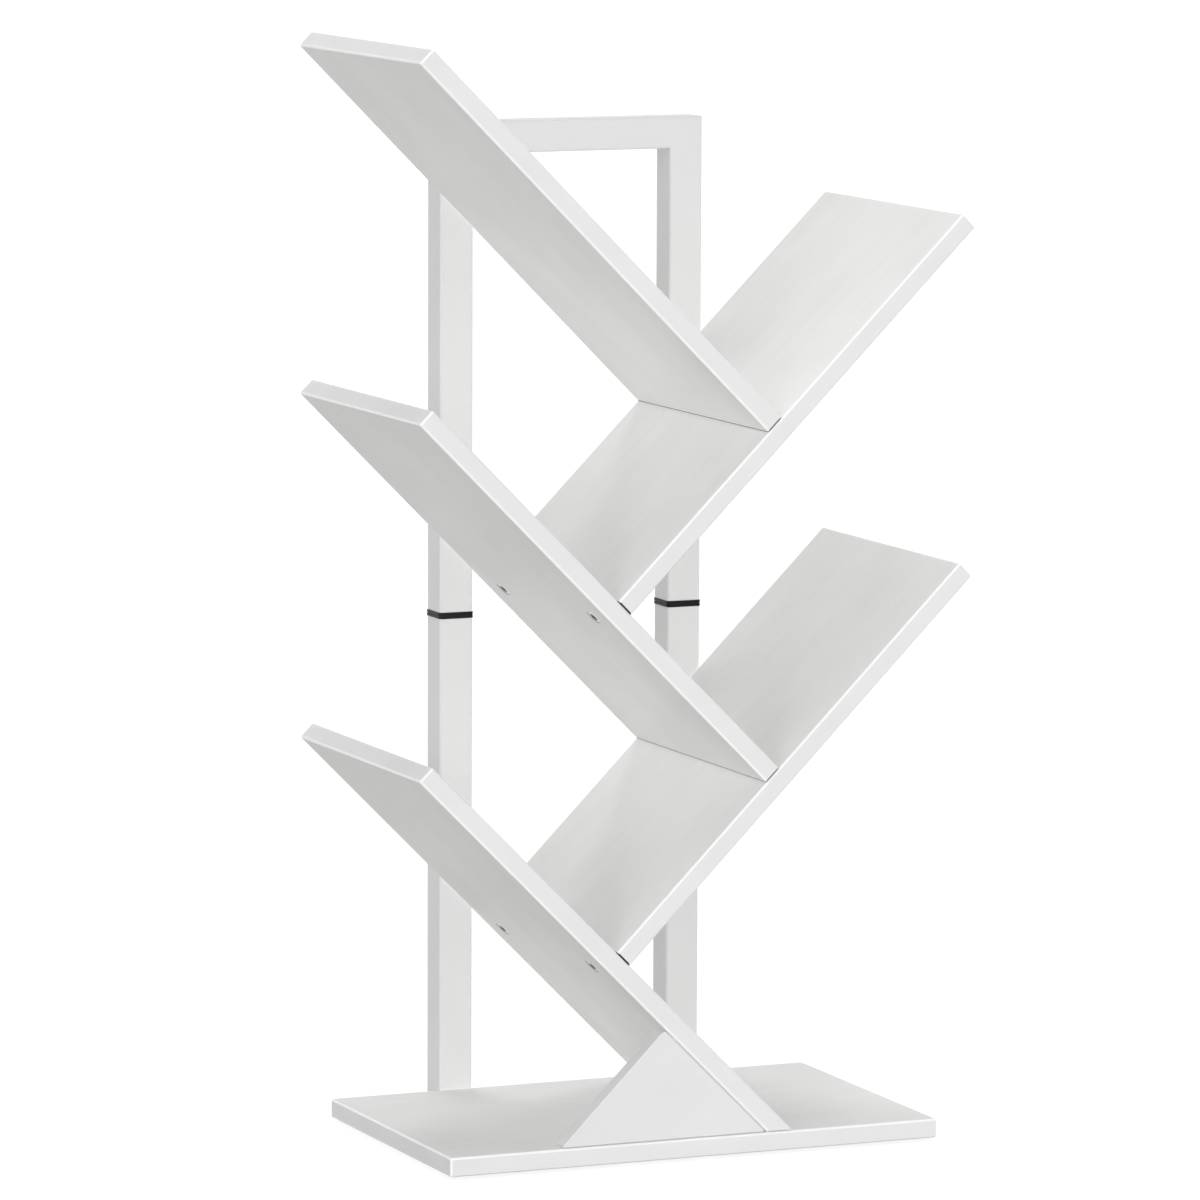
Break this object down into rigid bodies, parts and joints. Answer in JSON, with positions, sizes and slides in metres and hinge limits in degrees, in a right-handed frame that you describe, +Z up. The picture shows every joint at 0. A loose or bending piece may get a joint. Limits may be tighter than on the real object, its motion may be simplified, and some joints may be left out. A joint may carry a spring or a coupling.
{
  "type": "tree shaped bookshelf",
  "caption": "Free-standing bookshelf of boards that lean left and right in turn like branches, on a flat base board, with a square steel tube frame behind.",
  "frame": {"origin": "on the floor, under the middle of the bounding box", "axes": "+X to the right seen from the front, +Y to the back where the steel frame stands, +Z up"},
  "size_m": [0.4918, 0.3029, 0.9206],
  "materials": {
    "board": "white melamine with a faint wood grain, satin",
    "frame": "white powder coat, satin",
    "connector": "black moulded plastic, slightly glossy",
    "glide": "white moulded plastic",
    "screw": "bright zinc plate",
    "dowel": "bare beech"
  },
  "bodies": {
    "root": {"base_board": "board", "wedge_plate": "board", "shelf_1_left": "board", "shelf_2_right": "board", "shelf_3_left": "board", "shelf_4_right": "board", "shelf_5_left": "board", "upper_frame": "frame", "lower_post_left": "frame", "lower_post_right": "frame", "post_connector_left": "connector", "post_connector_right": "connector", "post_foot_cap_left": "connector", "post_foot_cap_right": "connector", "base_glide_1": "glide", "base_glide_2": "glide", "base_glide_3": "glide", "base_glide_4": "glide", "joint_1_screw_front": "screw", "joint_1_screw_rear": "screw", "joint_2_screw_front": "screw", "joint_2_screw_rear": "screw", "joint_3_screw_front": "screw", "joint_3_screw_rear": "screw", "joint_4_screw_front": "screw", "joint_4_screw_rear": "screw", "shelf_1_screw_front": "screw", "shelf_1_screw_rear": "screw", "wedge_screw_left": "screw", "wedge_screw_right": "screw", "frame_screw_base_left": "screw", "frame_screw_base_right": "screw", "frame_screw_shelf_1": "screw", "frame_screw_shelf_2": "screw", "frame_screw_shelf_3": "screw", "frame_screw_shelf_4": "screw", "frame_screw_shelf_5": "screw", "wedge_dowel_upper": "dowel", "wedge_dowel_lower": "dowel"}
  },
  "joints": []
}
